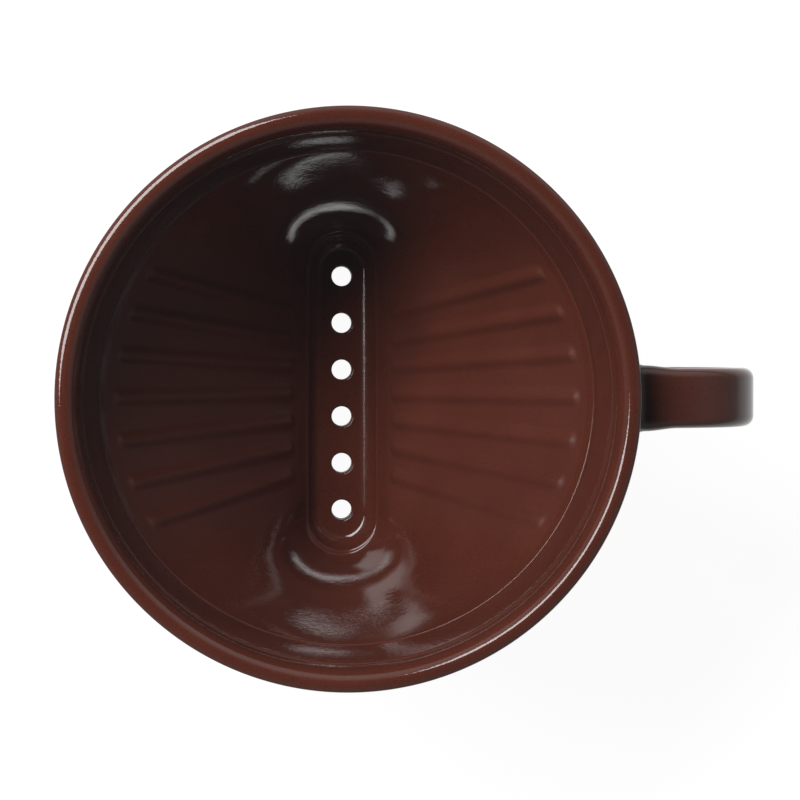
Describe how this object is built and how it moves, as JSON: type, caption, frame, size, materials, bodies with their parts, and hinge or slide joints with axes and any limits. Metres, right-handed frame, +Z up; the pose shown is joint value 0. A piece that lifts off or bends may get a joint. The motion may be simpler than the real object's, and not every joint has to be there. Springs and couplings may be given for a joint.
{
  "type": "pour over dripper",
  "caption": "Ceramic pour-over coffee dripper: round rim over a wedge-shaped ribbed cone with a grooved, drilled floor, an ear handle, a saucer flange and a locating ring for the cup.",
  "frame": {"origin": "on the axis of the rim, in the plane where the saucer flange sits on a cup", "axes": "+Z up along the rim's axis, +X towards the handle, +Y along the groove and its row of drip holes"},
  "size_m": [0.148, 0.12, 0.1005],
  "materials": {
    "glaze_body": "deep reddish-brown gloss glaze over fine stoneware",
    "glaze_handle": "deep reddish-brown gloss glaze over fine stoneware",
    "glaze_saucer": "deep reddish-brown gloss glaze over fine stoneware",
    "glaze_ring": "reddish-brown gloss glaze, wiped off the bottom of the ring to bare stoneware"
  },
  "bodies": {
    "root": {"filter_cone": "glaze_body", "handle": "glaze_handle", "saucer_flange": "glaze_saucer", "locating_ring": "glaze_ring"}
  },
  "joints": []
}
